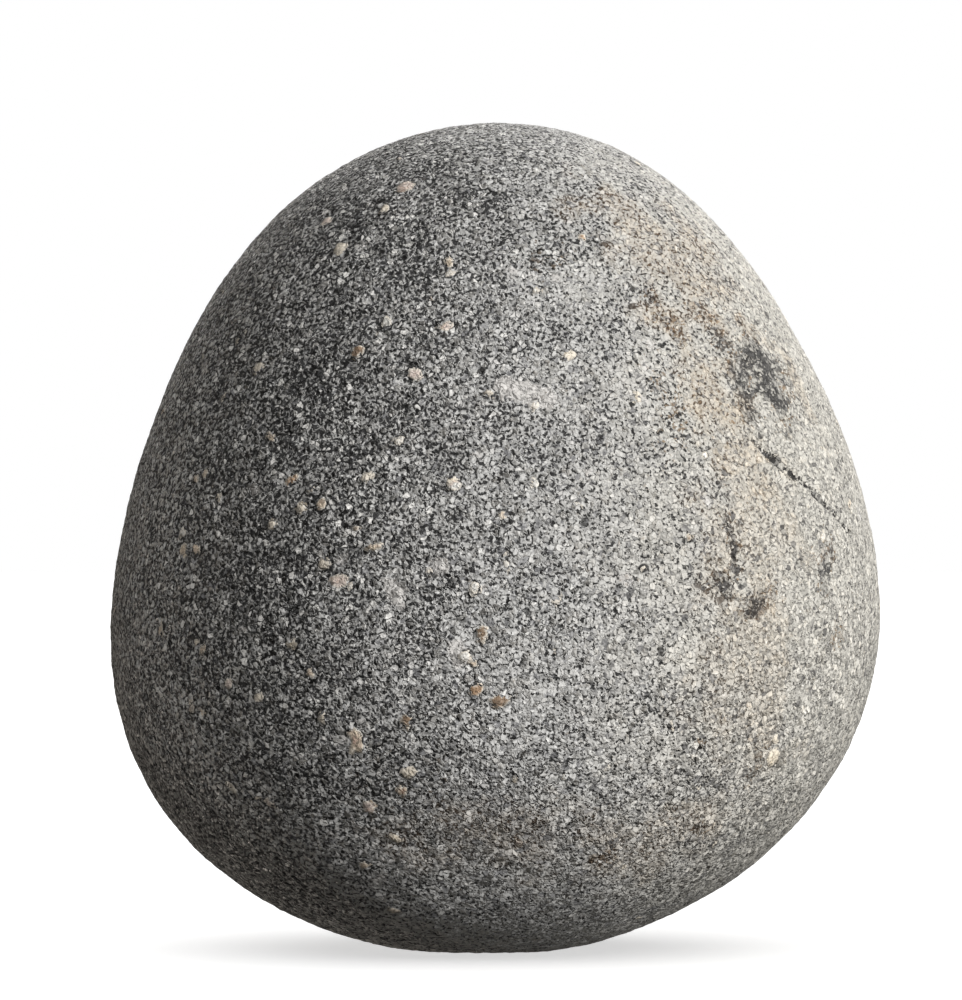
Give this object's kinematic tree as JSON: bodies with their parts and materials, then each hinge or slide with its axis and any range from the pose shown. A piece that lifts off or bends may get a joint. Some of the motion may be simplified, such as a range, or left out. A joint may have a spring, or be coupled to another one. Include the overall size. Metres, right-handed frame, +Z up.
{
  "type": "river pebble",
  "caption": "Rounded, egg-shaped river pebble of fine-grained grey stone with tan flecks, standing on its broad end; a loose natural stone.",
  "frame": {"origin": "on the surface the stone rests on, under the middle of its box", "axes": "+Z up, from the broad end to the narrow crown; +X to the right and -Y towards the viewer, who sees the broad face with the dark stain on the right"},
  "size_m": [0.0596, 0.0508, 0.064],
  "materials": {
    "stone": "matt, finely granular"
  },
  "bodies": {
    "root": {"river_pebble": "stone"}
  },
  "joints": []
}
